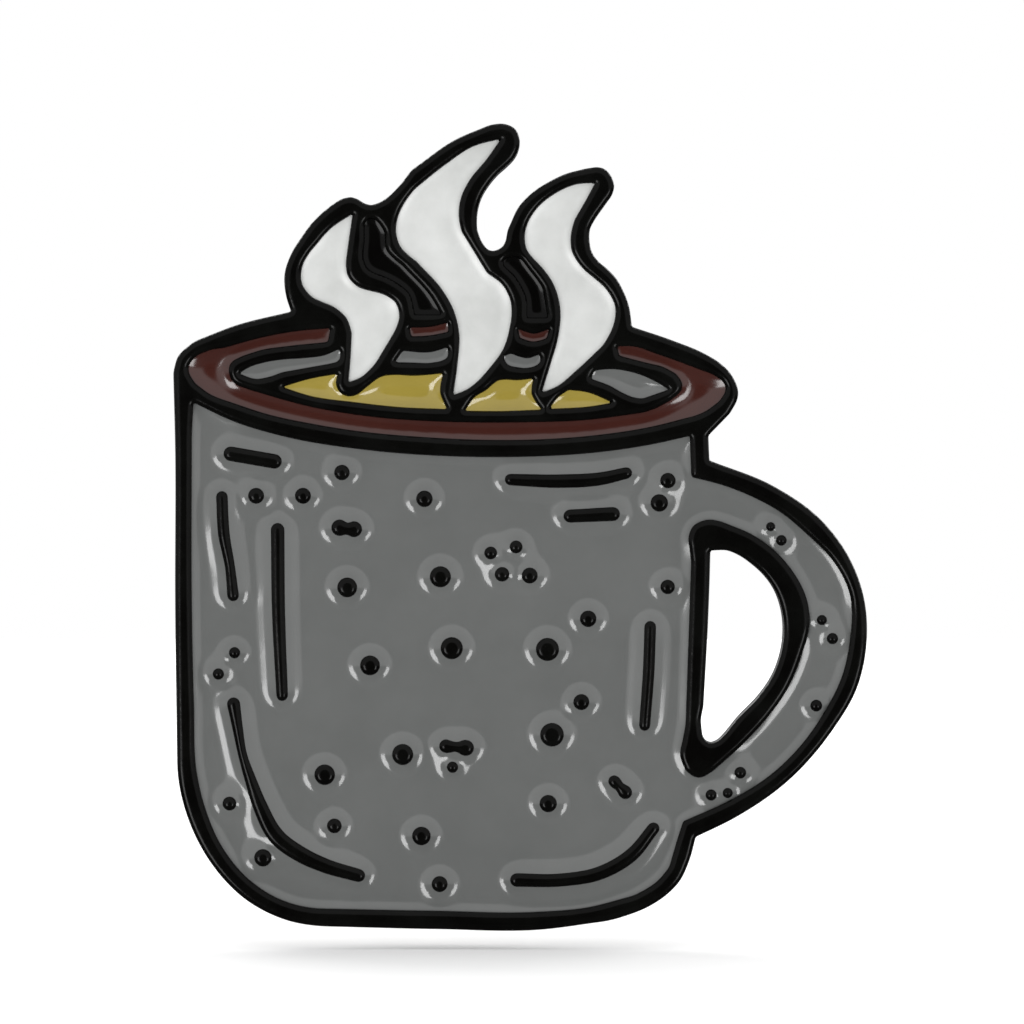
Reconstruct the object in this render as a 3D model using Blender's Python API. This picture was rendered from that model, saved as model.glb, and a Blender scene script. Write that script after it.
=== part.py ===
"""Soft-enamel lapel pin in the shape of a steaming speckled mug, with two nail posts
and two butterfly clutches.

The badge stands upright as it is worn: +Z up, +X to the right of someone looking at its
front, which faces -Y. The flat back is the plane y = 0 and the origin lies on it, midway
between the two posts. Outlines are written in millimetres as (x, z); a third value, the
word CORNER, makes a sharp point of the outline there, and every other point is rounded.
"""

import math

import bmesh
import bpy
from mathutils import Vector
from mathutils.geometry import tessellate_polygon

for old in list(bpy.data.objects):
    bpy.data.objects.remove(old)

MM = 0.001
CORNER = "corner"

# The struck badge: heights are measured from the flat back towards the front.
PLATE_THICKNESS = 1.50
POCKET_FLOOR = 0.75
ENAMEL_TOP = 1.22
GAP = 0.03
DEGREES_PER_STEP = 16

# The fixings: posts stand on the back, clutches ride on the posts.
POST_SPACING = 13.0
POST_RADIUS = 0.575
POST_LENGTH = 8.0
GRIP_GROOVE_RADIUS = 0.43
FLANGE_RADIUS = 1.6
FLANGE_THICKNESS = 0.35
SOLDER_RADIUS = 2.35
CLUTCH_STANDOFF = 0.6
CUP_RADIUS = 5.7
CUP_HEIGHT = 1.2
SHEET = 0.3
SPRING_SHEET = 0.26
SPRING_RADIUS = 5.0
SPRING_HALF_WIDTH = 2.2
SPRING_SEAT = 0.36
LEG_OUTSIDE = 2.76
LEG_TOP = 1.85
FOLD_X = 2.63
FOLD_HEIGHT = 2.15
ROUND_STEPS = 28

FINISHES = {
    # name: (colour, roughness, metallic)
    "black_metal": ((0.008, 0.008, 0.009), 0.32, 0.85),
    "grey_enamel": ((0.135, 0.137, 0.134), 0.20, 0.0),
    "brown_enamel": ((0.045, 0.014, 0.011), 0.20, 0.0),
    "drink_enamel": ((0.36, 0.27, 0.045), 0.20, 0.0),
    "pale_enamel": ((0.74, 0.74, 0.72), 0.20, 0.0),
    "black_enamel": ((0.006, 0.006, 0.006), 0.15, 0.0),
    "steel": ((0.55, 0.55, 0.56), 0.28, 1.0),
    "solder": ((0.42, 0.42, 0.43), 0.45, 1.0),
    "nickel": ((0.66, 0.64, 0.60), 0.22, 1.0),
    "spring_steel": ((0.58, 0.57, 0.54), 0.30, 1.0),
}

# Silhouette of the badge, anticlockwise from the tip of the middle wisp.
SILHOUETTE = [
    (2.62, 18.82), (1.95, 18.72), (0.70, 18.18), (-0.90, 17.07), (-1.95, 15.92),
    (-2.60, 15.60), (-3.40, 15.93), (-4.40, 15.42), (-5.35, 14.35), (-6.03, 12.85),
    (-5.95, 11.95), (-5.77, 11.40, CORNER), (-8.00, 10.84), (-9.40, 10.30),
    (-10.25, 9.60), (-10.42, 8.90), (-10.35, 6.0), (-10.35, 0.0), (-10.27, -6.4),
    (-9.80, -8.73), (-8.90, -10.43), (-7.60, -11.80), (-5.90, -12.66), (-4.20, -12.90),
    (0.0, -13.00), (4.10, -13.02), (6.45, -12.72), (8.45, -12.06), (9.55, -11.15),
    (9.98, -10.25), (10.22, -9.36, CORNER), (11.77, -8.60), (13.80, -7.20),
    (15.60, -5.17), (16.60, -3.44), (16.98, -1.50), (16.90, -0.10), (16.30, 1.65),
    (15.10, 3.24), (13.30, 4.50), (10.76, 5.52, CORNER), (10.72, 6.50, CORNER),
    (11.52, 7.32), (11.90, 8.15), (11.60, 8.95), (10.60, 9.72), (9.30, 10.26),
    (7.70, 10.80, CORNER), (7.56, 11.70), (7.05, 12.75), (6.12, 13.75), (6.05, 14.68),
    (6.55, 15.52), (7.00, 16.35), (6.62, 17.03), (5.75, 17.02), (4.46, 16.55),
    (3.28, 15.62), (2.82, 14.70), (2.55, 13.94), (2.15, 13.80), (1.72, 14.25),
    (1.57, 15.05), (1.76, 15.95), (2.40, 16.85), (3.08, 17.52), (3.27, 18.12),
    (3.08, 18.62),
]

# The open D of the handle, and the outer edge of the metal ring that borders it.
HANDLE_HOLE = [
    (10.80, 1.96, CORNER), (10.77, 0.80), (10.70, -1.00), (10.53, -4.10),
    (10.48, -5.32), (10.64, -5.56), (12.03, -4.50), (13.28, -2.95), (13.70, -1.05),
    (13.32, 0.45), (12.42, 1.45), (11.50, 1.95),
]
HANDLE_RING = [
    (10.14, 2.95), (10.03, 1.40), (9.95, -1.00), (9.82, -4.80), (9.80, -6.70),
    (10.30, -7.02), (10.95, -6.72), (12.10, -5.68), (13.05, -4.65), (13.88, -3.45),
    (14.45, -2.05), (14.72, -1.00), (14.62, 0.00), (14.15, 1.00), (13.40, 1.90),
    (12.40, 2.62), (11.50, 3.00), (10.70, 3.18),
]

# Enamel cells, each the inner edge of the raised metal line round it.
MUG_CELL = [
    (-9.62, 7.80, CORNER), (-9.69, 6.30), (-9.69, 0.0), (-9.60, -4.2), (-9.48, -6.9),
    (-9.15, -8.25), (-8.52, -9.70), (-7.60, -10.88), (-6.25, -11.80), (-4.50, -12.19),
    (0.0, -12.28), (3.95, -12.32), (5.96, -12.14), (7.60, -11.72), (8.70, -11.10),
    (9.20, -10.45), (9.46, -9.55), (9.72, -8.74, CORNER), (11.70, -7.84),
    (13.15, -6.92), (14.42, -5.68), (15.25, -4.50), (16.00, -3.00), (16.33, -1.40),
    (16.30, 0.25), (15.68, 1.50), (14.70, 2.52), (13.55, 3.48), (12.45, 4.08),
    (11.30, 4.53), (10.04, 4.86, CORNER), (9.98, 6.48, CORNER), (8.60, 6.17),
    (6.50, 5.85), (3.50, 5.66), (0.50, 5.68), (-3.00, 5.95), (-6.05, 6.46),
    (-8.10, 7.08),
]
RIM_CELL = [
    (-4.22, 10.74, CORNER), (-5.70, 10.60), (-7.00, 10.35), (-8.35, 9.98),
    (-9.38, 9.72), (-9.82, 9.20), (-9.50, 8.52), (-8.30, 7.87), (-6.60, 7.32),
    (-5.00, 6.98), (-2.90, 6.65), (-0.50, 6.44), (2.00, 6.33), (4.00, 6.35),
    (6.30, 6.52), (8.40, 6.84), (10.05, 7.25), (11.10, 7.82), (11.40, 8.42),
    (10.85, 8.93), (9.75, 9.34), (8.60, 9.75), (7.75, 10.02), (7.12, 10.02, CORNER),
    (7.20, 9.66, CORNER), (8.35, 9.36), (9.40, 8.97), (9.70, 8.48), (9.15, 7.84),
    (8.00, 7.38), (6.00, 7.12), (3.30, 7.02), (0.10, 7.05), (-2.60, 7.24),
    (-5.20, 7.68), (-7.20, 8.24), (-8.16, 8.75), (-8.20, 9.28), (-7.60, 9.68),
    (-6.05, 10.02), (-4.32, 10.20, CORNER),
]
RIM_BACK_CELLS = {
    "left": [
        (-1.08, 10.76, CORNER), (-1.02, 10.42, CORNER), (-0.30, 10.46),
        (0.44, 10.60, CORNER), (0.42, 10.96, CORNER), (-0.20, 10.80),
    ],
    "right": [
        (3.20, 10.72, CORNER), (3.28, 10.36, CORNER), (3.80, 10.22),
        (4.32, 10.34, CORNER), (4.42, 10.70, CORNER), (3.80, 10.52),
    ],
}
INNER_WALL_CELLS = [
    [
        (-7.82, 8.95, CORNER), (-7.15, 8.74), (-6.04, 9.02), (-4.30, 9.33),
        (-3.86, 9.50), (-3.86, 9.92, CORNER), (-4.40, 9.68), (-6.08, 9.50),
        (-7.45, 9.18),
    ],
    [
        (-1.66, 9.40, CORNER), (-0.80, 9.38), (0.05, 9.42), (0.42, 9.62),
        (0.40, 9.98, CORNER), (-0.20, 9.80), (-1.36, 9.84, CORNER),
    ],
    [
        (2.62, 9.62, CORNER), (2.76, 9.34), (3.20, 9.20), (3.72, 9.20),
        (4.08, 9.44), (4.04, 9.70, CORNER), (3.56, 9.55), (2.92, 9.74, CORNER),
    ],
    [
        (6.08, 8.75, CORNER), (6.85, 8.46), (7.82, 8.00), (8.20, 7.99),
        (9.14, 8.32, CORNER), (8.65, 8.62), (6.75, 9.12), (6.22, 9.06, CORNER),
    ],
]
DRINK_CELLS = {
    "left": [
        (-6.10, 8.42, CORNER), (-5.00, 8.07), (-3.30, 7.83), (-1.50, 7.63),
        (0.38, 7.55, CORNER), (0.12, 8.20), (0.22, 8.95, CORNER), (-1.00, 8.86),
        (-2.20, 8.82), (-2.72, 8.46), (-3.08, 8.16), (-3.45, 8.04), (-3.84, 8.20),
        (-4.00, 8.55), (-3.94, 8.93, CORNER), (-5.00, 8.74),
    ],
    "middle": [
        (1.10, 7.48, CORNER), (2.60, 7.47), (4.12, 7.53, CORNER), (3.72, 8.15),
        (3.80, 8.75, CORNER), (3.10, 8.68), (2.42, 8.68), (1.98, 8.32), (1.50, 8.02),
    ],
    "right": [
        (4.44, 7.56, CORNER), (6.00, 7.65), (6.92, 7.80, CORNER), (5.95, 8.20),
        (5.20, 8.30, CORNER), (4.80, 8.02),
    ],
}
STEAM_CELLS = {
    "left": [
        (-3.34, 15.26, CORNER), (-4.20, 14.68), (-4.85, 13.95), (-5.30, 13.25),
        (-5.33, 12.50), (-4.92, 11.97), (-4.10, 11.60), (-3.58, 11.15),
        (-3.37, 10.45), (-3.42, 9.50), (-3.50, 8.60, CORNER), (-2.95, 8.85),
        (-2.35, 9.50), (-1.78, 10.45), (-1.50, 11.20), (-1.65, 11.75),
        (-2.20, 12.10), (-3.10, 12.36), (-3.52, 12.78), (-3.60, 13.45),
        (-3.46, 14.45),
    ],
    "middle": [
        (2.52, 18.22, CORNER), (1.45, 17.93), (0.35, 17.22), (-0.75, 16.35),
        (-1.42, 15.45), (-1.62, 14.60), (-1.45, 13.98), (-0.75, 13.32),
        (0.20, 12.27), (0.64, 11.50), (0.88, 10.50), (0.82, 9.40),
        (0.64, 8.10, CORNER), (1.20, 8.34), (2.05, 9.15), (2.62, 9.95),
        (2.87, 10.80), (2.90, 11.80), (2.54, 12.50), (1.94, 12.97), (1.48, 13.72),
        (1.00, 14.50), (0.85, 15.20), (0.94, 15.90), (1.25, 16.55), (1.95, 17.42),
    ],
    "right": [
        (6.24, 16.48, CORNER), (5.50, 16.42), (4.65, 16.05), (3.85, 15.35),
        (3.48, 14.50), (3.55, 13.85), (4.10, 13.20), (4.62, 12.45), (4.88, 11.40),
        (4.80, 10.45), (4.48, 9.30), (4.14, 8.20, CORNER), (4.72, 8.44),
        (5.50, 9.08), (6.45, 9.97), (6.94, 10.80), (7.03, 11.60), (6.62, 12.35),
        (5.78, 13.08), (5.32, 13.80), (5.28, 14.40), (5.48, 15.12), (5.90, 15.85),
    ],
}
BLACK_CELLS = {
    "left": [
        (-2.66, 15.08), (-2.86, 14.20), (-2.78, 13.15), (-1.92, 12.72),
        (-1.08, 12.10), (-0.88, 11.28, CORNER), (0.16, 11.28, CORNER),
        (-0.25, 11.98), (-1.30, 13.14), (-2.02, 13.86), (-2.12, 14.60),
    ],
    "right": [
        (2.64, 13.42), (3.10, 12.78), (3.52, 12.00), (3.56, 11.16, CORNER),
        (4.36, 11.16, CORNER), (4.18, 12.24), (3.66, 13.02), (3.10, 13.56),
    ],
}

# Raised marks standing in the mug's cell: round speckles as (x, z, diameter) and
# strokes as a centre line of (x, z, width), whose round ends reach past its end points.
SPECKLES = [
    (-7.15, 4.12, 0.60), (-5.30, 4.12, 0.60), (-3.76, 5.04, 0.58), (-0.50, 4.00, 0.62),
    (-3.55, 0.50, 0.75), (0.13, 0.92, 0.80), (2.12, 1.86, 0.48), (3.12, 2.10, 0.48),
    (2.57, 1.02, 0.55), (3.66, 0.97, 0.60), (5.97, -0.74, 0.62), (4.36, -1.95, 0.88),
    (0.58, -1.90, 0.84), (-2.65, -2.58, 0.75), (5.70, -4.03, 0.60), (4.54, -5.32, 0.90),
    (-1.36, -6.10, 0.80), (0.61, -6.60, 0.42), (-4.44, -6.90, 0.78), (-4.06, -8.92, 0.55),
    (-0.62, -9.32, 0.70), (0.10, -11.22, 0.60), (4.39, -8.04, 0.65), (-8.20, -8.04, 0.52),
    (-6.88, -10.18, 0.66), (-8.00, -2.08, 0.42), (-8.64, -2.92, 0.42), (9.12, 4.72, 0.58),
    (8.78, 3.84, 0.66), (9.11, 0.52, 0.54), (13.18, 2.90, 0.34), (13.60, 2.36, 0.40),
    (15.20, -0.79, 0.38), (15.62, -1.52, 0.42), (14.98, -4.17, 0.44),
    (11.98, -6.82, 0.44), (10.83, -7.70, 0.42), (11.48, -7.62, 0.38),
]
STROKES = [
    [(-3.85, 2.86, 0.62), (-3.56, 2.82, 0.44), (-3.28, 2.80, 0.60)],
    [(0.35, -5.77, 0.50), (0.76, -5.80, 0.36), (1.14, -5.84, 0.60)],
    [(7.00, -7.16, 0.44), (7.22, -7.38, 0.36), (7.44, -7.60, 0.50)],
    [
        (-8.04, -4.10, 0.48), (-7.88, -5.05, 0.38), (-7.68, -6.12, 0.32),
        (-7.37, -7.10, 0.42), (-7.00, -8.12, 0.54), (-6.32, -9.36, 0.62),
        (-5.40, -10.04, 0.60), (-4.40, -10.50, 0.54), (-3.10, -10.88, 0.48),
    ],
    [
        (3.15, -11.06, 0.50), (4.86, -11.06, 0.48), (6.44, -10.78, 0.50),
        (7.70, -10.05, 0.50), (8.55, -9.02, 0.44),
    ],
    [(-6.30, 2.78, 0.50), (-6.26, -0.60, 0.48), (-6.12, -3.76, 0.42)],
    [(-8.50, 4.08, 0.42), (-8.42, 2.60, 0.42), (-8.18, 1.30, 0.36), (-8.06, 0.18, 0.42)],
    [(2.90, 4.76, 0.42), (4.90, 4.70, 0.50), (6.50, 4.80, 0.48), (7.48, 5.02, 0.42)],
    [(5.25, 3.32, 0.48), (6.95, 3.40, 0.52)],
    [(-8.15, 5.78, 0.54), (-6.42, 5.48, 0.54)],
    [(8.42, -1.05, 0.42), (8.36, -2.77, 0.42), (8.20, -4.95, 0.40)],
]
SPECKLE_SIDES = 8
END_STEPS = 4

# Half of a butterfly spring: the wing's centre line from the jaw at the post, over the
# fold, to the thumb tip, as (distance from the post's axis, height, half width).
WING = [
    (0.70, 1.43, 0.50), (1.25, 1.48, 0.80), (1.80, 1.72, 1.65), (2.15, 2.10, 2.00),
    (2.50, 2.36, 2.00), (2.92, 2.46, 2.00), (3.36, 2.74, 2.00), (4.00, 3.52, 2.12),
    (4.58, 4.40, 2.25), (5.00, 5.02, 2.16), (5.26, 5.30, 1.85), (5.48, 5.44, 1.35),
    (5.62, 5.50, 0.80),
]


# ---------------------------------------------------------------- outlines

def tangent(before, here, after):
    """Direction of the round curve at a point, from its two neighbours."""
    arriving = here - before
    leaving = after - here
    blend = arriving.normalized() * leaving.length + leaving.normalized() * arriving.length
    return blend.normalized()


def rounded(points):
    """Closed outline through the points, as cubic arcs that meet at the corners."""
    spots = [Vector(point[:2]) for point in points]
    sharp = [len(point) == 3 for point in points]
    count = len(spots)
    outline = []
    for i in range(count):
        j = (i + 1) % count
        start = spots[i]
        end = spots[j]
        chord = end - start
        leave = chord.normalized() if sharp[i] else tangent(spots[i - 1], start, end)
        arrive = chord.normalized() if sharp[j] else tangent(start, end, spots[(j + 1) % count])
        turn = math.degrees(chord.angle(leave) + chord.angle(arrive))
        steps = 1 + int(turn / DEGREES_PER_STEP)
        for k in range(steps):
            t = k / steps
            place = start * (2 * t**3 - 3 * t**2 + 1) + end * (3 * t**2 - 2 * t**3)
            pull = leave * (t**3 - 2 * t**2 + t) + arrive * (t**3 - t**2)
            outline.append(place + pull * chord.length)
    return outline


def round_speckle(x, z, diameter):
    """Regular polygon that stands for a round raised dot."""
    corners = []
    for k in range(SPECKLE_SIDES):
        angle = 2 * math.pi * k / SPECKLE_SIDES
        corners.append(Vector((x + math.cos(angle) * diameter / 2, z + math.sin(angle) * diameter / 2)))
    return corners


def stroke(line):
    """Bar with round ends along a centre line whose points carry their own width."""
    spots = [Vector(point[:2]) for point in line]
    half = [point[2] / 2 for point in line]
    last = len(spots) - 1
    left = []
    right = []
    for i, spot in enumerate(spots):
        along = (spots[min(i + 1, last)] - spots[max(i - 1, 0)]).normalized()
        side = Vector((-along.y, along.x)) * half[i]
        left.append(spot + side)
        right.append(spot - side)
    far_end = round_end(left[-1], right[-1], spots[-1] - spots[-2])
    near_end = round_end(right[0], left[0], spots[0] - spots[1])
    return [*left, *far_end, *reversed(right), *near_end]


def round_end(start, stop, outwards):
    """Points of the half circle that bulges outwards between two points, without them."""
    middle = (start + stop) / 2
    arm = start - middle
    bulge = outwards.normalized() * arm.length
    arc = []
    for k in range(1, END_STEPS):
        angle = math.pi * k / END_STEPS
        arc.append(middle + arm * math.cos(angle) + bulge * math.sin(angle))
    return arc


def offset(outline, distance):
    """The same outline moved outwards by a distance, or inwards if it is negative."""
    count = len(outline)
    area = sum(outline[i - 1].cross(outline[i]) for i in range(count))
    turn = 1 if area > 0 else -1
    moved = []
    for i in range(count):
        along = tangent(outline[i - 1], outline[i], outline[(i + 1) % count])
        moved.append(outline[i] + Vector((along.y, -along.x)) * distance * turn)
    return moved


# ---------------------------------------------------------------- solids

def material(finish):
    made = bpy.data.materials.get(finish)
    if made:
        return made
    colour, roughness, metallic = FINISHES[finish]
    made = bpy.data.materials.new(finish)
    made.use_nodes = True
    shader = made.node_tree.nodes["Principled BSDF"]
    shader.inputs["Base Color"].default_value = (*colour, 1)
    shader.inputs["Roughness"].default_value = roughness
    shader.inputs["Metallic"].default_value = metallic
    return made


def finish_object(bm, name, finish, place=(0, 0, 0), parent=None, smooth=False):
    """Turn a millimetre bmesh into a named object in metres with its origin at place."""
    bmesh.ops.recalc_face_normals(bm, faces=bm.faces)
    bmesh.ops.scale(bm, vec=(MM, MM, MM), verts=bm.verts)
    mesh = bpy.data.meshes.new(name)
    bm.to_mesh(mesh)
    bm.free()
    mesh.materials.append(material(finish))
    if smooth:
        mesh.shade_smooth()
        mesh.set_sharp_from_angle(angle=math.radians(35))
    made = bpy.data.objects.new(name, mesh)
    made.location = [value * MM for value in place]
    made.parent = parent
    bpy.context.scene.collection.objects.link(made)
    return made


def ring(bm, outline, height):
    """Vertices of an outline at a height above the back, towards the front."""
    return [bm.verts.new((spot.x, -height, spot.y)) for spot in outline]


def cap(bm, outer, holes=()):
    """Flat face between an outer ring and the rings of its holes."""
    rings = [outer, *holes]
    corners = [vert for one in rings for vert in one]
    for triangle in tessellate_polygon([[vert.co for vert in one] for one in rings]):
        bm.faces.new([corners[i] for i in triangle])


def wall(bm, low, high):
    """Upright faces between two rings of the same outline."""
    for i in range(len(low)):
        bm.faces.new((low[i - 1], low[i], high[i], high[i - 1]))


def make_base_plate(cells, marks, ring_edge, hole):
    """Struck plate: full height on its lines and marks, low on the floors of its cells."""
    bm = bmesh.new()
    silhouette = rounded(SILHOUETTE)
    back = [ring(bm, silhouette, 0), ring(bm, hole, 0)]
    front = [ring(bm, silhouette, PLATE_THICKNESS), ring(bm, hole, PLATE_THICKNESS)]
    cap(bm, back[0], back[1:])
    wall(bm, back[0], front[0])
    wall(bm, back[1], front[1])
    mug_top = None
    for cell in cells:
        top = ring(bm, cell, PLATE_THICKNESS)
        floor = ring(bm, cell, POCKET_FLOOR)
        wall(bm, floor, top)
        front.append(top)
        if mug_top is None:
            mug_top = top
            mug_floor = floor
        else:
            cap(bm, floor)
    islands = [*marks, ring_edge]
    low = [ring(bm, island, POCKET_FLOOR) for island in islands]
    high = [ring(bm, island, PLATE_THICKNESS) for island in islands]
    for lower, upper in zip(low, high):
        wall(bm, lower, upper)
    for mark_top in high[:-1]:
        cap(bm, mark_top)
    cap(bm, mug_floor, low)
    cap(bm, high[-1], [front[1]])
    cap(bm, front[0], front[2:])
    finish_object(bm, "base_plate", "black_metal")


def make_enamel(name, finish, cell, islands=()):
    """Slab of enamel that fills a cell to just under its lines, less the marks in it."""
    bm = bmesh.new()
    outlines = [offset(cell, -GAP), *(offset(island, GAP) for island in islands)]
    low = [ring(bm, outline, POCKET_FLOOR + GAP) for outline in outlines]
    high = [ring(bm, outline, ENAMEL_TOP) for outline in outlines]
    for lower, upper in zip(low, high):
        wall(bm, lower, upper)
    cap(bm, low[0], low[1:])
    cap(bm, high[0], high[1:])
    finish_object(bm, name, finish)


def make_turned(name, finish, profile, place=(0, 0, 0), parent=None):
    """Piece turned about an axis along Y; profile holds (radius, height behind place).

    A profile that starts and ends on the axis makes a solid; any other is closed on
    itself and makes a ring.
    """
    bm = bmesh.new()
    rows = []
    for radius, height in profile:
        if radius == 0:
            rows.append([bm.verts.new((0, height, 0))] * ROUND_STEPS)
            continue
        row = []
        for k in range(ROUND_STEPS):
            angle = 2 * math.pi * k / ROUND_STEPS
            row.append(bm.verts.new((math.cos(angle) * radius, height, math.sin(angle) * radius)))
        rows.append(row)
    if profile[0][0] != 0:
        rows.append(rows[0])
    for lower, upper in zip(rows, rows[1:]):
        for k in range(ROUND_STEPS):
            corners = [lower[k - 1], lower[k], upper[k], upper[k - 1]]
            bm.faces.new(dict.fromkeys(corners))
    return finish_object(bm, name, finish, place, parent, smooth=True)


def make_clutch_spring(name, parent):
    """Spring strip: flat seat with round ends, a hole for the post and two legs."""
    bm = bmesh.new()
    seat_top = SPRING_SEAT + SPRING_SHEET
    leg_inside = LEG_OUTSIDE - SPRING_SHEET
    side = [
        (-SPRING_RADIUS, SPRING_SEAT), (SPRING_RADIUS, SPRING_SEAT),
        (SPRING_RADIUS, seat_top), (LEG_OUTSIDE, seat_top), (LEG_OUTSIDE, LEG_TOP),
        (leg_inside, LEG_TOP), (leg_inside, seat_top), (-leg_inside, seat_top),
        (-leg_inside, LEG_TOP), (-LEG_OUTSIDE, LEG_TOP), (-LEG_OUTSIDE, seat_top),
        (-SPRING_RADIUS, seat_top),
    ]
    face = bm.faces.new([bm.verts.new((x, height, -SPRING_HALF_WIDTH)) for x, height in side])
    grown = bmesh.ops.extrude_face_region(bm, geom=[face])
    moved = [item for item in grown["geom"] if isinstance(item, bmesh.types.BMVert)]
    bmesh.ops.translate(bm, vec=(0, 0, 2 * SPRING_HALF_WIDTH), verts=moved)
    spring = finish_object(bm, name, "spring_steel", parent=parent)
    disc = make_turned(name + "_round_end_guide", "spring_steel",
                       [(0, -1), (SPRING_RADIUS - 0.02, -1), (SPRING_RADIUS - 0.02, 4), (0, 4)],
                       parent=parent)
    drill = make_turned(name + "_hole_cutter", "spring_steel",
                        [(0, -1), (1.35, -1), (1.35, 4), (0, 4)], parent=parent)
    for tool, operation in ((disc, "INTERSECT"), (drill, "DIFFERENCE")):
        tool.hide_render = True
        tool.display_type = "WIRE"
        cut = spring.modifiers.new(operation.title(), "BOOLEAN")
        cut.operation = operation
        cut.solver = "EXACT"
        cut.object = tool


def make_clutch_wing(name, parent, side):
    """Folded wing: a sheet of changing width along its centre line, jaw to thumb tip."""
    bm = bmesh.new()
    last = len(WING) - 1
    rows = []
    for i, (x, height, half_width) in enumerate(WING):
        ahead = Vector(WING[min(i + 1, last)][:2])
        behind = Vector(WING[max(i - 1, 0)][:2])
        along = (ahead - behind).normalized()
        rise = Vector((-along.y, along.x)) * SPRING_SHEET / 2
        row = []
        for way, edge in ((1, 1), (1, -1), (-1, -1), (-1, 1)):
            across = (x + rise.x * way - FOLD_X) * side
            up = height + rise.y * way - FOLD_HEIGHT
            row.append(bm.verts.new((across, up, half_width * edge)))
        rows.append(row)
    for lower, upper in zip(rows, rows[1:]):
        wall(bm, lower, upper)
    bm.faces.new(rows[0])
    bm.faces.new(rows[-1])
    place = (FOLD_X * side, FOLD_HEIGHT, 0)
    finish_object(bm, name, "nickel", place, parent, smooth=True)


def make_fixing(level, height):
    """Post, its solder and the clutch on it, at one height on the back."""
    foot = (0, GAP, height)
    flange_top = FLANGE_THICKNESS
    make_turned("post_" + level, "steel", [
        (0, 0), (FLANGE_RADIUS, 0), (FLANGE_RADIUS, flange_top - 0.08),
        (FLANGE_RADIUS - 0.1, flange_top), (0.78, flange_top), (POST_RADIUS, 0.55),
        (POST_RADIUS, 5.55), (GRIP_GROOVE_RADIUS, 5.75), (GRIP_GROOVE_RADIUS, 6.15),
        (POST_RADIUS, 6.35), (POST_RADIUS, 6.85), (0.32, 7.55), (0.12, 7.9),
        (0, POST_LENGTH),
    ], foot)
    make_turned("solder_" + level, "solder", [
        (FLANGE_RADIUS + GAP, 0), (SOLDER_RADIUS, 0), (SOLDER_RADIUS - 0.28, 0.06),
        (SOLDER_RADIUS - 0.5, 0.15), (FLANGE_RADIUS + 0.1, 0.27), (FLANGE_RADIUS + GAP, 0.27),
    ], foot)

    clutch = bpy.data.objects.new(level + "_clutch", None)
    clutch.location = (0, CLUTCH_STANDOFF * MM, height * MM)
    bpy.context.scene.collection.objects.link(clutch)
    rim = CUP_RADIUS
    make_turned(level + "_clutch_cup", "nickel", [
        (0.75, 0), (rim - 0.4, 0), (rim - 0.12, 0.16), (rim, 0.5), (rim - 0.04, 0.85),
        (rim - 0.22, 1.1), (rim - 0.5, CUP_HEIGHT), (rim - 0.9, CUP_HEIGHT - 0.02),
        (rim - 1.0, CUP_HEIGHT - 0.14), (rim - 0.9, CUP_HEIGHT - 0.25),
        (rim - 0.52, CUP_HEIGHT - 0.27), (rim - 0.36, 0.75), (rim - 0.34, 0.5),
        (rim - 0.42, SHEET), (1.25, SHEET), (1.1, 0.42), (1.0, 0.68), (0.75, 0.68),
    ], parent=clutch)
    make_clutch_spring(level + "_clutch_spring", clutch)
    make_clutch_wing(level + "_clutch_wing_right", clutch, 1)
    make_clutch_wing(level + "_clutch_wing_left", clutch, -1)


# ---------------------------------------------------------------- assembly

mug_cell = rounded(MUG_CELL)
handle_ring = rounded(HANDLE_RING)
marks = [round_speckle(*speckle) for speckle in SPECKLES]
marks += [stroke(line) for line in STROKES]

inlays = {"mug_enamel": ("grey_enamel", mug_cell), "rim_enamel": ("brown_enamel", rounded(RIM_CELL))}
for side_name, cell_points in RIM_BACK_CELLS.items():
    inlays["rim_back_enamel_" + side_name] = ("brown_enamel", rounded(cell_points))
for number, cell_points in enumerate(INNER_WALL_CELLS, start=1):
    inlays["inner_wall_enamel_" + str(number)] = ("grey_enamel", rounded(cell_points))
for side_name, cell_points in DRINK_CELLS.items():
    inlays["drink_enamel_" + side_name] = ("drink_enamel", rounded(cell_points))
for side_name, cell_points in STEAM_CELLS.items():
    inlays["steam_enamel_" + side_name] = ("pale_enamel", rounded(cell_points))
for side_name, cell_points in BLACK_CELLS.items():
    inlays["black_enamel_" + side_name] = ("black_enamel", rounded(cell_points))

make_base_plate([cell for _, cell in inlays.values()], marks, handle_ring, rounded(HANDLE_HOLE))
for inlay, (enamel, cell) in inlays.items():
    make_enamel(inlay, enamel, cell, [*marks, handle_ring] if inlay == "mug_enamel" else [])
make_fixing("upper", POST_SPACING / 2)
make_fixing("lower", -POST_SPACING / 2)
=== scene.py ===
import math

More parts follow.
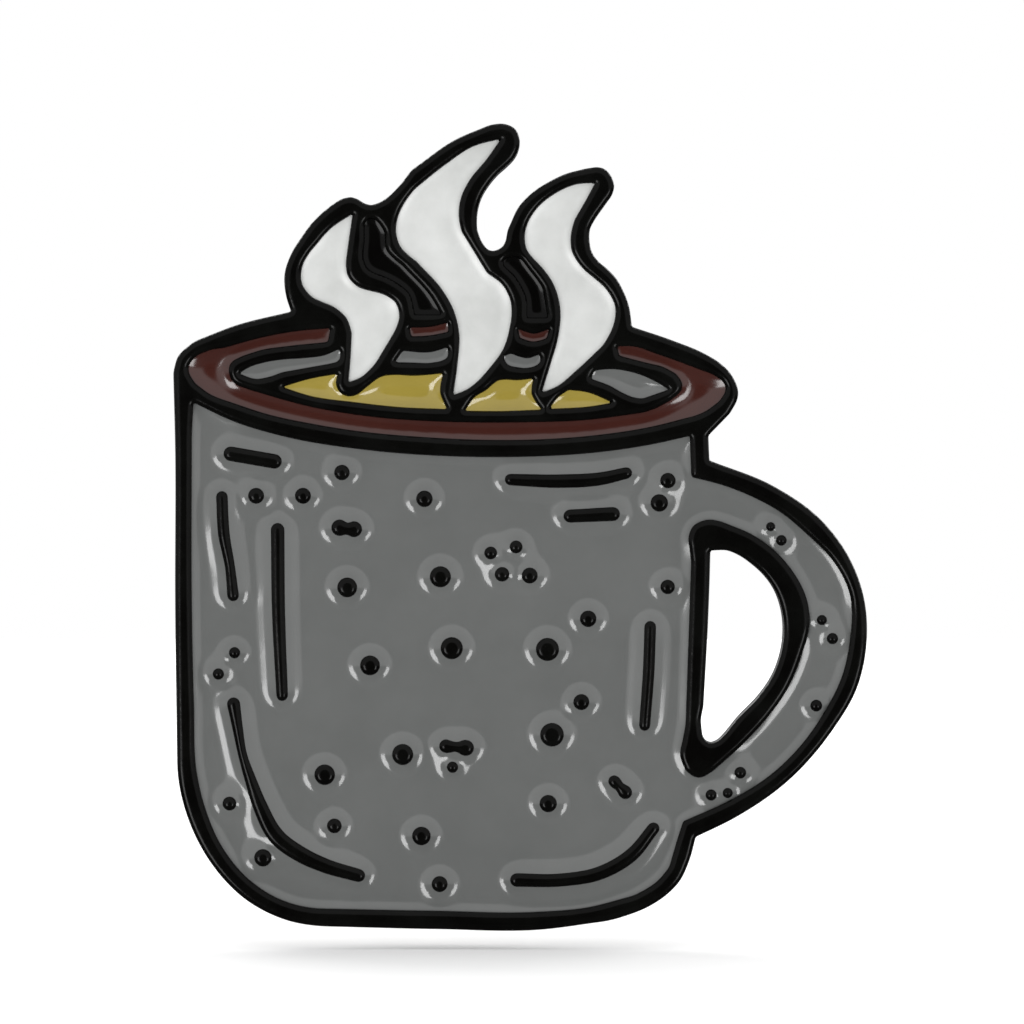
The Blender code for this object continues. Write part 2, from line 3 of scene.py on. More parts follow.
import bmesh
import bpy
import numpy as np
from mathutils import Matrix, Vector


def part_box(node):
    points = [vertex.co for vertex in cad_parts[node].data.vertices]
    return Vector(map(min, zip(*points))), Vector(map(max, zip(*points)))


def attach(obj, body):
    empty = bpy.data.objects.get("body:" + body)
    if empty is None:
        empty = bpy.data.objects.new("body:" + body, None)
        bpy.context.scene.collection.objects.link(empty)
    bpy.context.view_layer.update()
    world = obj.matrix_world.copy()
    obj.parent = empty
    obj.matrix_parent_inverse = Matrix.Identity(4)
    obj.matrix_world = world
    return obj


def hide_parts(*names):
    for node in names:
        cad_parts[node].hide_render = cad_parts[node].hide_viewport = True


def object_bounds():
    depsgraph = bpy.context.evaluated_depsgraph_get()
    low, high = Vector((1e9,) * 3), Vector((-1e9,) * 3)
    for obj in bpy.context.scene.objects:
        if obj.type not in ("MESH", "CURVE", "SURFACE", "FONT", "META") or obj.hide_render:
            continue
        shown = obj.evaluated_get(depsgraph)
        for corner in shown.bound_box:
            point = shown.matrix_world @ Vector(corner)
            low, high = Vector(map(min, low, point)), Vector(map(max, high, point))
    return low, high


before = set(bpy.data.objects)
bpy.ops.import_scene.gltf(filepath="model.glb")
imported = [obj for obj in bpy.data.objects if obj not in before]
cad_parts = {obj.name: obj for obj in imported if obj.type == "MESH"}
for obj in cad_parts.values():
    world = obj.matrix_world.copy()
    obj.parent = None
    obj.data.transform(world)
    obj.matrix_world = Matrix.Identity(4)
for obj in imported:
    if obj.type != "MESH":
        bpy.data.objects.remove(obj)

cad_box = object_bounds()

# ---------------------------------------------------------------- the struck plate
# One piece of zinc alloy struck between dies and dyed black. Its lines, speckles and
# strokes stand up from sunk cells, and tumbling has softened the edges of every line.

MM = 0.001
LINE_TOP = -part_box("base_plate")[0].y / MM
FOOT_GAP = 0.02
CELL_FLOOR = -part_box("mug_enamel")[1].y / MM - FOOT_GAP
FRONT_TOLERANCE = 0.01
OUTLINE_SPACING = 0.045
THROUGH_REACH = 1.5 * OUTLINE_SPACING
FEWEST_POINTS = 16
ARC_STEPS = 24
CORNER_TURN = math.radians(30)
CORNER_SOFTNESS = 0.045
STRAIGHT_RATIO = 2.2
TALLEST_MARK = 9.0
SILHOUETTE_HEIGHT = 25.0
HANDLE_HOLE_LEFT = 10.2
MARK_SWELL = 0.022
LINE_EDGE_WIDTH = 0.24
LINE_EDGE_DROP = 0.15
PLATE_GRID = 0.062
GRID_MARGIN = 3
BACK_EDGE = 0.09
BACK_EDGE_INSET = 0.7 * BACK_EDGE
SNAP = 0.36
WALK = 4
CHUNKS = 40


def cad_outlines(node):
    """Outlines of a node's front face, in mm as (x, z) rows, each with the solid on its left.

    The front triangles are those at the lowest y. A directed edge whose opposite is
    missing lies on an outline, and following such edges end to start closes each loop.
    """
    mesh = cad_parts[node].data
    mesh.calc_loop_triangles()
    place = np.zeros(len(mesh.vertices) * 3)
    mesh.vertices.foreach_get("co", place)
    place = place.reshape(-1, 3) / MM
    corners = np.zeros(len(mesh.loop_triangles) * 3, int)
    mesh.loop_triangles.foreach_get("vertices", corners)
    spots, welded = np.unique(np.round(place, 3), axis=0, return_inverse=True)
    triangles = welded.reshape(-1)[corners].reshape(-1, 3)
    front = np.all(spots[triangles][:, :, 1] < spots[:, 1].min() + FRONT_TOLERANCE, axis=1)
    start = triangles[front].ravel()
    end = np.roll(triangles[front], -1, axis=1).ravel()
    code, opposite = start * len(spots) + end, end * len(spots) + start
    lone = ~np.isin(code, opposite)
    follow = dict(zip(start[lone].tolist(), end[lone].tolist()))
    outlines = []
    while follow:
        here, step = follow.popitem()
        loop = [here]
        while step != here:
            loop.append(step)
            step = follow.pop(step)
        outlines.append(spots[loop][:, [0, 2]])
    return outlines


def signed_area(outline):
    """Area of a closed outline, positive where it runs anticlockwise (shoelace sum)."""
    ahead = np.roll(outline, -1, axis=0)
    return 0.5 * np.sum(outline[:, 0] * ahead[:, 1] - outline[:, 1] * ahead[:, 0])


def height_of(outline):
    """Highest place of an outline less its lowest."""
    return np.ptp(outline[:, 1])


def soften(outline, has_corners, swell):
    """Even, smooth rows of points on the curve through an outline's vertices.

    Each stretch is a cubic Hermite arc whose end tangents average the two neighbouring
    stretches, weighted by the opposite lengths; beside a much longer stretch the tangent
    is that stretch, and at a corner each stretch is its own. The curve is read at even
    arc length, blurred along itself by a Gaussian, and moved outwards by swell.
    """
    chord = np.roll(outline, -1, axis=0) - outline
    length = np.linalg.norm(chord, axis=1, keepdims=True)
    unit = chord / length
    before = np.roll(unit, 1, axis=0)
    previous = np.roll(length, 1, axis=0)
    tangent = before * length + unit * previous
    tangent = np.where(length > STRAIGHT_RATIO * previous, unit, tangent)
    tangent = np.where(previous > STRAIGHT_RATIO * length, before, tangent)
    tangent /= np.linalg.norm(tangent, axis=1, keepdims=True)
    if has_corners:
        sharp = np.sum(before * unit, axis=1) < math.cos(CORNER_TURN)
    else:
        sharp = np.zeros(len(outline), bool)
    leave = np.where(sharp[:, None], unit, tangent) * length
    arrive = np.roll(np.where(sharp[:, None], before, tangent), -1, axis=0) * length
    t = np.linspace(0, 1, ARC_STEPS, endpoint=False)[None, :, None]
    curve = (outline[:, None] * (2 * t**3 - 3 * t**2 + 1)
             + np.roll(outline, -1, axis=0)[:, None] * (3 * t**2 - 2 * t**3)
             + leave[:, None] * (t**3 - 2 * t**2 + t) + arrive[:, None] * (t**3 - t**2))
    curve = curve.reshape(-1, 2)
    closed = np.vstack([curve, curve[:1]])
    run = np.concatenate([[0], np.cumsum(np.linalg.norm(np.diff(closed, axis=0), axis=1))])
    count = max(FEWEST_POINTS, int(run[-1] / OUTLINE_SPACING))
    even = np.linspace(0, run[-1], count, endpoint=False)
    line = np.interp(even, run, closed[:, 0]) + 1j * np.interp(even, run, closed[:, 1])
    waves = np.fft.fftfreq(count, run[-1] / count)
    blur = np.exp(-0.5 * (2 * np.pi * waves * CORNER_SOFTNESS) ** 2)
    line = np.fft.ifft(np.fft.fft(line) * blur)
    way = np.roll(line, -1) - np.roll(line, 1)
    line = line - 1j * swell * way / np.abs(way)
    return np.column_stack([line.real, line.imag])


def nearest_on(outlines, across, up):
    """Index of the outline point nearest to each knot of a grid (jump flooding).

    Points mark the knots they fall on; every knot then compares its own mark with those
    of its eight neighbours at halving distances and keeps the closest.
    """
    points = np.vstack(outlines)
    step = across[1] - across[0]
    shape = (len(across), len(up))
    mark = np.full(shape, -1)
    column = np.round((points[:, 0] - across[0]) / step).astype(int)
    row = np.round((points[:, 1] - up[0]) / step).astype(int)
    mark[column, row] = np.arange(len(points))
    best = np.full(shape, np.inf)
    grid_x, grid_z = across[:, None], up[None, :]
    jumps = [2**k for k in range(int(np.log2(max(shape))), -1, -1)] + [2, 1]
    for jump in jumps:
        padded = np.pad(mark, jump, constant_values=-1)
        for i in (0, jump, 2 * jump):
            for j in (0, jump, 2 * jump):
                other = padded[i:i + shape[0], j:j + shape[1]]
                far = (points[other, 0] - grid_x) ** 2 + (points[other, 1] - grid_z) ** 2
                closer = (other >= 0) & (far < best)
                mark[closer] = other[closer]
                best[closer] = far[closer]
    return mark


def depth_inside(outlines, across, up):
    """Distance from each knot of a grid to the outlines, positive inside.

    Also gives each knot's nearest place on them, and the index of its nearest point.
    That index first walks along its outline while that brings it closer. The distance
    is to the closer of the two stretches that meet there. Inside is where the signed
    crossings to the left of a knot sum to more than 0.
    """
    points = np.vstack(outlines)
    ends = np.cumsum([len(line) for line in outlines])
    number = np.split(np.arange(len(points)), ends[:-1])
    onward = np.concatenate([np.roll(line, -1) for line in number])
    back = np.concatenate([np.roll(line, 1) for line in number])
    mark = nearest_on(outlines, across, up)
    knot = np.stack(np.meshgrid(across, up, indexing="ij"), axis=-1)
    best = np.linalg.norm(knot - points[mark], axis=-1)
    for other in (onward, back) * WALK:
        far = np.linalg.norm(knot - points[other[mark]], axis=-1)
        mark = np.where(far < best, other[mark], mark)
        best = np.minimum(far, best)
    spot = points[mark]
    found = spot
    ahead = points[onward]
    for neighbour in (ahead, points[back]):
        reach = neighbour[mark] - spot
        share = np.sum((knot - spot) * reach, axis=-1) / np.sum(reach * reach, axis=-1)
        place = spot + reach * np.clip(share, 0, 1)[..., None]
        far = np.linalg.norm(knot - place, axis=-1)
        closer = far < best
        found = np.where(closer[..., None], place, found)
        best = np.where(closer, far, best)
    step = up[1] - up[0]
    low = (points[:, 1] - up[0]) / step
    high = (ahead[:, 1] - up[0]) / step
    row = np.ceil(np.minimum(low, high)).astype(int)
    crosses = row < np.maximum(low, high)
    share = (row - low)[crosses] / (high - low)[crosses]
    place = points[crosses, 0] + share * (ahead - points)[crosses, 0]
    column = np.ceil((place - across[0]) / step).astype(int)
    turns = np.zeros(best.shape)
    np.add.at(turns, (column, row[crosses]), np.where(high < low, 1, -1)[crosses])
    inside = np.cumsum(turns, axis=0) > 0.5
    return np.where(inside, best, -best), found, mark


def relief(outlines, step, grow=0.0):
    """Flat sheet that fills the outlines, moved outwards by grow.

    A square grid is laid over the region. Knots close to an outline slide onto it, and
    the squares that an outline still cuts are clipped where the depth passes zero, so
    that the sheet's border is the outline, at a depth of exactly 0. Gives the sheet's
    points and their depth inside, the depth and the nearest outline point at every
    knot, carry, which takes values at the knots to the sheet's points, and the faces.
    """
    everything = np.vstack(outlines)
    low = everything.min(axis=0) - GRID_MARGIN * step
    high = everything.max(axis=0) + (GRID_MARGIN + 1) * step
    across = np.arange(low[0], high[0], step)
    up = np.arange(low[1], high[1], step)
    field, border, nearest = depth_inside(outlines, across, up)
    knot = np.stack(np.meshgrid(across, up, indexing="ij"), axis=-1)
    if grow:
        border = border - np.stack(np.gradient(field, step), axis=-1) * grow
        field = field + grow
    near = np.abs(field) < SNAP * step
    knot = np.where(near[..., None], border, knot)
    depth = np.where(near, 0, field)
    side = np.sign(depth)

    total = depth.size
    cuts, sources = [], []
    for axis in (0, 1):
        first, second = [slice(None)] * 2, [slice(None)] * 2
        first[axis], second[axis] = slice(None, -1), slice(1, None)
        first, second = tuple(first), tuple(second)
        crossing = side[first] * side[second] < 0
        drop = (depth[first] - depth[second])[crossing]
        sources.append((first, second, crossing, depth[first][crossing] / drop))
        cut = np.full(depth.shape, -1)
        cut[first][crossing] = total + np.arange(len(drop))
        total += len(drop)
        cuts.append(cut)

    kept = np.where(side >= 0, np.arange(depth.size).reshape(depth.shape), -1)
    slots = np.stack([
        kept[:-1, :-1], cuts[0][:-1, :-1], kept[1:, :-1], cuts[1][1:, :-1],
        kept[1:, 1:], cuts[0][:-1, 1:], kept[:-1, 1:], cuts[1][:-1, :-1],
    ], axis=-1).reshape(-1, 8)
    positive = side > 0
    wanted = positive[:-1, :-1] | positive[1:, :-1] | positive[1:, 1:] | positive[:-1, 1:]
    slots = slots[wanted.ravel()]
    filled = np.sum(slots >= 0, axis=1)
    packed = np.take_along_axis(slots, np.argsort(slots < 0, axis=1, kind="stable"), axis=1)
    groups = [packed[filled == count][:, :count] for count in range(3, 7)]
    used = np.unique(np.concatenate([group.ravel() for group in groups]))
    renumber = np.full(total, -1)
    renumber[used] = np.arange(len(used))

    def carry(values):
        """Values at the sheet's points; a cut point mixes its two knots by their depths."""
        flat = values.reshape(depth.shape + (-1,))
        parts = [flat.reshape(depth.size, -1)]
        for first, second, crossing, share in sources:
            parts.append(flat[first][crossing] * (1 - share)[:, None]
                         + flat[second][crossing] * share[:, None])
        return np.vstack(parts)[used].reshape((len(used),) + values.shape[2:])

    sheet_depth = carry(depth)
    sheet_depth[used >= depth.size] = 0
    faces = [renumber[group] for group in groups]
    return carry(knot), sheet_depth, field, nearest, carry, faces


def inwards_along(outlines):
    """Unit vectors into the solid at every outline point, square to its neighbours' line."""
    way = np.vstack([np.roll(line, -1, axis=0) - np.roll(line, 1, axis=0) for line in outlines])
    left = np.column_stack([-way[:, 1], way[:, 0]])
    return left / np.linalg.norm(way, axis=1, keepdims=True)


def border_edges(groups, count):
    """Directed edges that only one face uses, so the sheet lies on their left."""
    start = np.concatenate([group.ravel() for group in groups])
    end = np.concatenate([np.roll(group, -1, axis=1).ravel() for group in groups])
    lone = ~np.isin(start * count + end, end * count + start)
    return start[lone], end[lone]


def build_mesh(name, points, groups, normals, flat_groups=()):
    """Mesh from rows of points in mm and groups of faces with their corners' normals.

    flat_groups pairs faces with the one normal that all their corners take. None
    stands for each face's own: half the sum of its corners' cross products.
    """
    all_groups = [*groups, *(group for group, _ in flat_groups)]
    corners = np.concatenate([group.ravel() for group in all_groups])
    sizes = np.concatenate([np.full(len(group), group.shape[1]) for group in all_groups])
    mesh = bpy.data.meshes.new(name)
    mesh.vertices.add(len(points))
    mesh.vertices.foreach_set("co", (points * MM).astype(np.float32).ravel())
    mesh.loops.add(len(corners))
    mesh.loops.foreach_set("vertex_index", corners.astype(np.int32))
    mesh.polygons.add(len(sizes))
    mesh.polygons.foreach_set("loop_start", (np.cumsum(sizes) - sizes).astype(np.int32))
    mesh.update(calc_edges=True)
    mesh.shade_smooth()
    turned = normals[corners]
    at = sum(group.size for group in groups)
    for group, normal in flat_groups:
        if normal is None:
            ring = points[group]
            own = np.cross(ring, np.roll(ring, -1, axis=1)).sum(axis=1)
            normal = np.repeat(own, group.shape[1], axis=0)
        turned[at:at + group.size] = normal
        at += group.size
    turned /= np.maximum(np.linalg.norm(turned, axis=1, keepdims=True), 1e-9)
    mesh.normals_split_custom_set(turned.astype(np.float32))
    mesh.validate()
    return mesh


def show(mesh, body, slot, material, *nodes):
    """Object for a finished mesh, riding on a body and standing for its CAD nodes."""
    made = bpy.data.objects.new(mesh.name, mesh)
    bpy.context.scene.collection.objects.link(made)
    mesh.materials.append(material)
    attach(made, body)
    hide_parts(*nodes)


def fill_flat(points, rings, outwards):
    """Triangles that cap closed rings of edges lying in one plane, holes left open."""
    bm = bmesh.new()
    ends = np.unique(np.concatenate([rings[0], rings[1]]))
    made = [bm.verts.new(place) for place in points[ends].tolist()]
    which = dict(zip(ends.tolist(), made))
    home = dict(zip(made, ends.tolist()))
    pairs = zip(rings[0].tolist(), rings[1].tolist())
    edges = [bm.edges.new((which[a], which[b])) for a, b in pairs]
    bmesh.ops.triangle_fill(bm, edges=edges, use_dissolve=False, use_beauty=False)
    faces = np.array([[home[vert] for vert in face.verts] for face in bm.faces])
    bm.free()
    edge_a = points[faces[:, 1]] - points[faces[:, 0]]
    edge_b = points[faces[:, 2]] - points[faces[:, 0]]
    backwards = np.cross(edge_a, edge_b)[:, 1] * outwards < 0
    faces[backwards] = faces[backwards][:, ::-1]
    return faces


# Cells and the silhouette have corners. Marks are the low raised outlines, and have none.
plate_outlines = [
    soften(line, has_corners=signed_area(line) < 0 or height_of(line) > SILHOUETTE_HEIGHT,
           swell=MARK_SWELL * (signed_area(line) > 0 and height_of(line) < TALLEST_MARK))
    for line in cad_outlines("base_plate")
]
flat, depth, field, nearest, carry, top_faces = relief(plate_outlines, PLATE_GRID)


def blend_inside(values, inside):
    """Mean of each knot and its neighbours, weighted 4, 2 and 1, over knots inside only."""
    total, weight = 0, 0
    for i, j in ((i, j) for i in (-1, 0, 1) for j in (-1, 0, 1)):
        share = np.roll(inside * (2 - abs(i)) * (2 - abs(j)), (i, j), axis=(0, 1))
        total = total + np.roll(values, (i, j), axis=(0, 1)) * share[..., None]
        weight = weight + share
    return total / np.maximum(weight, 1)[..., None]


def line_level(depth):
    """Quarter ellipse over the edge of a line: 0 at its foot and 1 where it is flat."""
    return np.sqrt(1 - (1 - np.clip(depth / LINE_EDGE_WIDTH, 0, 1)) ** 2)


def line_facing(depth, slope):
    """Normal of that ellipse: (-slope x fall x drop / width, -level)."""
    lean = slope * (1 - np.clip(depth / LINE_EDGE_WIDTH, 0, 1))[..., None]
    lean = lean * LINE_EDGE_DROP / LINE_EDGE_WIDTH
    return np.stack([-lean[..., 0], -line_level(depth), -lean[..., 1]], axis=-1)


slope_field = np.stack(np.gradient(field, PLATE_GRID), axis=-1)
slope = carry(slope_field)
unit = line_facing(field, slope_field)
unit = unit / np.maximum(np.linalg.norm(unit, axis=-1, keepdims=True), 1e-6)
facing = carry(blend_inside(unit, field > 0))
at_border = depth <= 0
slope[at_border] = carry(inwards_along(plate_outlines)[nearest])[at_border]
facing[at_border] = line_facing(depth[at_border], slope[at_border])
surface = LINE_EDGE_DROP * (1 - line_level(depth)) - LINE_TOP
points = np.column_stack([flat[:, 0], surface, flat[:, 1]])

# The silhouette and the open handle go right through the plate. Every other border
# belongs to a cell, and stops at the cell's floor.
edge_start, edge_end = border_edges(top_faces, len(points))
through_lines = [line for line in plate_outlines if height_of(line) > SILHOUETTE_HEIGHT
                 or (signed_area(line) < 0 and line[:, 0].min() > HANDLE_HOLE_LEFT)]
through_points = np.vstack(through_lines)
edge_place = flat[edge_start]
to_through = np.full(len(edge_start), np.inf)
for chunk in np.array_split(np.arange(len(edge_start)), CHUNKS):
    gap = edge_place[chunk, None] - through_points[None]
    to_through[chunk] = np.sqrt(np.min(np.sum(gap * gap, axis=-1), axis=1))
goes_through = to_through < THROUGH_REACH


def drop_walls(points, facing, start, end, slope, rings):
    """Walls that go down from border edges through rings of (y, step inwards, lean back).

    A ring's points are the border's, moved along the slope by its step and set at its y,
    and their normals point outwards, with lean added along y. Gives the points, normals
    and slopes with the rings added, the wall's faces, and the edges of the last ring.
    """
    rim, inverse = np.unique(np.concatenate([start, end]), return_inverse=True)
    first, last = inverse[:len(start)], inverse[len(start):]
    upper = rim
    walls = []
    for y, inwards, lean in rings:
        fresh = np.column_stack([points[rim, 0] + slope[rim, 0] * inwards, np.full(len(rim), y),
                                 points[rim, 2] + slope[rim, 1] * inwards])
        outward = np.column_stack([-slope[rim, 0], np.full(len(rim), lean), -slope[rim, 1]])
        lower = len(points) + np.arange(len(rim))
        points, facing = np.vstack([points, fresh]), np.vstack([facing, outward])
        slope = np.vstack([slope, slope[rim]])
        walls.append(np.column_stack([upper[last], upper[first], lower[first], lower[last]]))
        upper, rim = lower, lower
    return points, facing, slope, np.vstack(walls), (upper[first], upper[last])


points, facing, slope, cell_walls, cell_rings = drop_walls(
    points, facing, edge_start[~goes_through], edge_end[~goes_through], slope,
    [(-CELL_FLOOR, 0, 0)])
points, facing, slope, side_walls, back_rings = drop_walls(
    points, facing, edge_start[goes_through], edge_end[goes_through], slope,
    [(-BACK_EDGE, 0, 0), (0, BACK_EDGE_INSET, 1)])
cell_floors = fill_flat(points, cell_rings, outwards=-1)
back_face = fill_flat(points, back_rings, outwards=1)


def link(material, source, socket, target, target_socket):
    """Joins an output of one shader node to an input of another."""
    material.node_tree.links.new(source.outputs[socket], target.inputs[target_socket])


def add_node(material, kind, **values):
    """Shader node with its properties or unlinked sockets set by name."""
    node = material.node_tree.nodes.new("ShaderNode" + kind)
    for name, value in values.items():
        if hasattr(node, name):
            setattr(node, name, value)
        else:
            node.inputs[name.replace("_", " ")].default_value = value
    return node


def new_material(name, roughness, metallic=0.0, specular=0.5):
    """Principled material with its even values set on the shader's own sockets."""
    made = bpy.data.materials.new(name)
    made.use_nodes = True
    shader = made.node_tree.nodes["Principled BSDF"]
    shader.inputs["Roughness"].default_value = roughness
    shader.inputs["Metallic"].default_value = metallic
    shader.inputs["Specular IOR Level"].default_value = specular
    return made, shader


def noise(material, size, detail=2.0, rough=0.5):
    """Noise on Object coordinates whose features measure size in mm."""
    spot = add_node(material, "TexCoord")
    cloud = add_node(material, "TexNoise", Scale=1 / (size * MM), Detail=detail, Roughness=rough)
    link(material, spot, "Object", cloud, "Vector")
    return cloud


def ramp(material, source, socket, stops):
    """Colour ramp over (position, grey or colour) stops."""
    made = add_node(material, "ValToRGB")
    link(material, source, socket, made, "Fac")
    made.color_ramp.elements.remove(made.color_ramp.elements[1])
    for i, (position, value) in enumerate(stops):
        colour = (value, value, value, 1) if isinstance(value, float) else (*value, 1)
        stop = made.color_ramp.elements[0] if i == 0 else made.color_ramp.elements.new(position)
        stop.position = position
        stop.color = colour
    return made


def bump(material, shader, source, socket, height, under=None):
    """Bump of a height in mm driven by a 0 to 1 value, on top of the bump under it."""
    made = add_node(material, "Bump", Distance=height * MM)
    link(material, source, socket, made, "Height")
    if under:
        link(material, under, "Normal", made, "Normal")
    link(material, made, "Normal", shader, "Normal")
    return made


# The tumbled front is smooth and the blackest. The walls and the back keep the rough
# skin of the struck metal: cast is 0 on the lines and 1 from a third of the way down.
FRONT_BLACK = [(0.3, (0.0010, 0.0009, 0.0008)), (0.7, (0.0024, 0.0025, 0.0022))]
CAST_BLACK = [(0.3, (0.0100, 0.0098, 0.0095)), (0.7, (0.0165, 0.0160, 0.0155))]
FRONT_ROUGHNESS = [(0.3, 0.10), (0.7, 0.18)]
CAST_ROUGHNESS = [(0.3, 0.36), (0.7, 0.50)]
CAST_FROM, CAST_FULLY = 0.10, 0.30
FRONT_GRIT = 0.08
# A Mix node's colour sockets share their names with others, so they go by number.
MIX_A, MIX_B, MIX_RESULT = 6, 7, 2

black_metal, shader = new_material("dyed_black_metal", roughness=0.15, specular=0.09)
where = add_node(black_metal, "TexCoord")
apart = add_node(black_metal, "SeparateXYZ")
link(black_metal, where, "Object", apart, 0)
behind = add_node(black_metal, "Math", operation="MULTIPLY_ADD")
behind.inputs[1].default_value = 1 / (LINE_TOP * MM)
behind.inputs[2].default_value = 1.0
link(black_metal, apart, "Y", behind, 0)
cast = ramp(black_metal, behind, "Value", [(CAST_FROM, 0.0), (CAST_FULLY, 1.0)])

front_tone = ramp(black_metal, noise(black_metal, size=1.7, detail=4), "Fac", FRONT_BLACK)
cast_tone = ramp(black_metal, noise(black_metal, size=2.3, detail=5, rough=0.6), "Fac", CAST_BLACK)
polish = ramp(black_metal, noise(black_metal, size=0.35, detail=3), "Fac", FRONT_ROUGHNESS)
satin = ramp(black_metal, noise(black_metal, size=0.30, detail=4), "Fac", CAST_ROUGHNESS)
for front_value, cast_value, socket in ((front_tone, cast_tone, "Base Color"),
                                        (polish, satin, "Roughness")):
    mixed = add_node(black_metal, "Mix", data_type="RGBA")
    link(black_metal, cast, "Color", mixed, 0)
    link(black_metal, front_value, "Color", mixed, MIX_A)
    link(black_metal, cast_value, "Color", mixed, MIX_B)
    link(black_metal, mixed, MIX_RESULT, shader, socket)

orange_peel = bump(black_metal, shader, noise(black_metal, size=0.45), "Fac", height=0.006)
grit = add_node(black_metal, "Math", operation="MULTIPLY")
grit_share = ramp(black_metal, behind, "Value", [(CAST_FROM, FRONT_GRIT), (CAST_FULLY, 1.0)])
link(black_metal, noise(black_metal, size=0.09, detail=3, rough=0.7), "Fac", grit, 0)
link(black_metal, grit_share, "Color", grit, 1)
bump(black_metal, shader, grit, "Value", height=0.020, under=orange_peel)

plate_mesh = build_mesh("struck_plate", points, [*top_faces, cell_walls, side_walls], facing,
                        [(cell_floors, (0, -1, 0)), (back_face, (0, 1, 0))])
show(plate_mesh, "badge", "black_metal", black_metal, "base_plate")


# ---------------------------------------------------------------- grey enamel
# Soft enamel: colour run wet into the sunk cells of the mug and of its inner wall, then
# baked. It lies below the lines, and at every line it climbed the metal as it set.

ENAMEL_LEVEL = 1.14
CLIMB_AT_LINES = 0.10
CLIMB_AT_MARKS = 0.22
CLIMB_IN_WALL_CELLS = 0.18
SKIN_BEND = 0.78
SMALL_CELL_BEND = 1.6
MUG_GRID = 0.083
LONG_CELL_GRID = 0.06
SMALL_CELL_GRID = 0.05
SWEEPS = 420
TILT_BLENDS = 2
OVERLAP = 0.014
ENAMEL_FOOT = CELL_FLOOR + FOOT_GAP

cell_lines = [line[::-1] for line in plate_outlines if signed_area(line) < 0]
raised_lines = [line[::-1] for line in plate_outlines
                if signed_area(line) > 0 and height_of(line) < SILHOUETTE_HEIGHT]


def cell_of(node):
    """The plate's cell whose outline has the same box as a CAD enamel."""
    low, high = (np.array(corner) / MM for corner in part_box(node))
    target = np.array([low[0], low[2], high[0], high[2]])
    boxes = np.array([[*line.min(axis=0), *line.max(axis=0)] for line in cell_lines])
    return cell_lines[int(np.argmin(np.abs(boxes - target).sum(axis=1)))]


def wetted(field, step, climb, bend):
    """Height of set enamel: it bends evenly up to the metal and is flat away from it.

    The sum of its two bends is the same wherever it stands above its level, so beside
    a straight line h = level + climb x (1 - depth / reach)², with reach² = 2 climb /
    bend. Knots within half a step of a line keep that. Sweeps of the grid give every
    other knot the mean of its neighbours less bend x step² / 4, and never below level.
    """
    reach = np.sqrt(2 * climb / bend)
    beside = climb * np.clip(1 - np.maximum(field, -2 * step) / reach, 0, None) ** 2
    rise = beside.copy()
    free = (field > 0.5 * step)[1:-1, 1:-1]
    for _ in range(SWEEPS):
        around = rise[:-2, 1:-1] + rise[2:, 1:-1] + rise[1:-1, :-2] + rise[1:-1, 2:]
        settled = np.maximum(around / 4 - bend * step**2 / 4, 0)
        rise[1:-1, 1:-1] = np.where(free, settled, rise[1:-1, 1:-1])
    return ENAMEL_LEVEL + rise


def enamel(name, node, material, step, islands=(), climb=CLIMB_AT_LINES, bend=SKIN_BEND):
    """Closed body of enamel in the cell of a CAD node, riding with the plate.

    It reaches a little under the metal all round, with the marks as holes, and wets up
    the marks higher than the lines. Its normals are the height's slopes, blended over
    the grid, and its walls go straight down to a flat foot.
    """
    outlines = [cell_of(node), *islands]
    flat, depth, field, nearest, carry, faces = relief(outlines, step, grow=OVERLAP)
    heights = [climb] + [CLIMB_AT_MARKS if height_of(line) < TALLEST_MARK else climb
                         for line in islands]
    climbs = np.repeat(heights, [len(line) for line in outlines])[nearest]
    height = wetted(field, step, climbs, bend)
    tilt = np.stack(np.gradient(height, step), axis=-1)
    for _ in range(TILT_BLENDS):
        tilt = blend_inside(tilt, field > 0)
    tilt = carry(tilt)
    level = np.where(depth <= 0, ENAMEL_LEVEL + carry(climbs), carry(height))
    points = np.column_stack([flat[:, 0], -level, flat[:, 1]])
    facing = np.column_stack([-tilt[:, 0], -np.ones(len(tilt)), -tilt[:, 1]])
    slope = carry(inwards_along(outlines)[nearest])
    start, end = border_edges(faces, len(points))
    points, facing, slope, walls, ring = drop_walls(
        points, facing, start, end, slope, [(-ENAMEL_FOOT, 0, 0)])
    foot = fill_flat(points, ring, outwards=1)
    mesh = build_mesh(name, points, faces, facing, [(walls, None), (foot, (0, 1, 0))])
    show(mesh, "badge", material.name.removesuffix("_colour"), material, node)


def enamel_material(name, dark, light, roughness, specular=0.5):
    """Baked enamel: two close tones in soft clouds, a glossy skin with slight ripples."""
    made, shader = new_material(name, roughness, specular=specular)
    clouds = noise(made, size=2.6, detail=5, rough=0.6)
    tone = ramp(made, clouds, "Fac", [(0.32, dark), (0.68, light)])
    link(made, tone, "Color", shader, "Base Color")
    ripple = bump(made, shader, noise(made, size=1.9, detail=1), "Fac", height=0.010)
    bump(made, shader, noise(made, size=0.16), "Fac", height=0.0006, under=ripple)
    return made


grey = enamel_material("grey_enamel_colour", dark=(0.092, 0.095, 0.093),
                       light=(0.101, 0.104, 0.102), roughness=0.12)
enamel("mug_enamel_fill", "mug_enamel", grey, MUG_GRID, raised_lines)
for number in ("1", "2", "3", "4"):
    enamel("inner_wall_fill_" + number, "inner_wall_enamel_" + number, grey, SMALL_CELL_GRID,
           climb=CLIMB_IN_WALL_CELLS, bend=SMALL_CELL_BEND)

# ---------------------------------------------------------------- brown enamel
# The mug's brown lip: one long cell round the front and two short ones behind the
# steam, filled with the same baked enamel and wetted up both of its close lines.

CLIMB_ON_RIM = 0.16
CLIMB_ON_BACK_RIM = 0.18

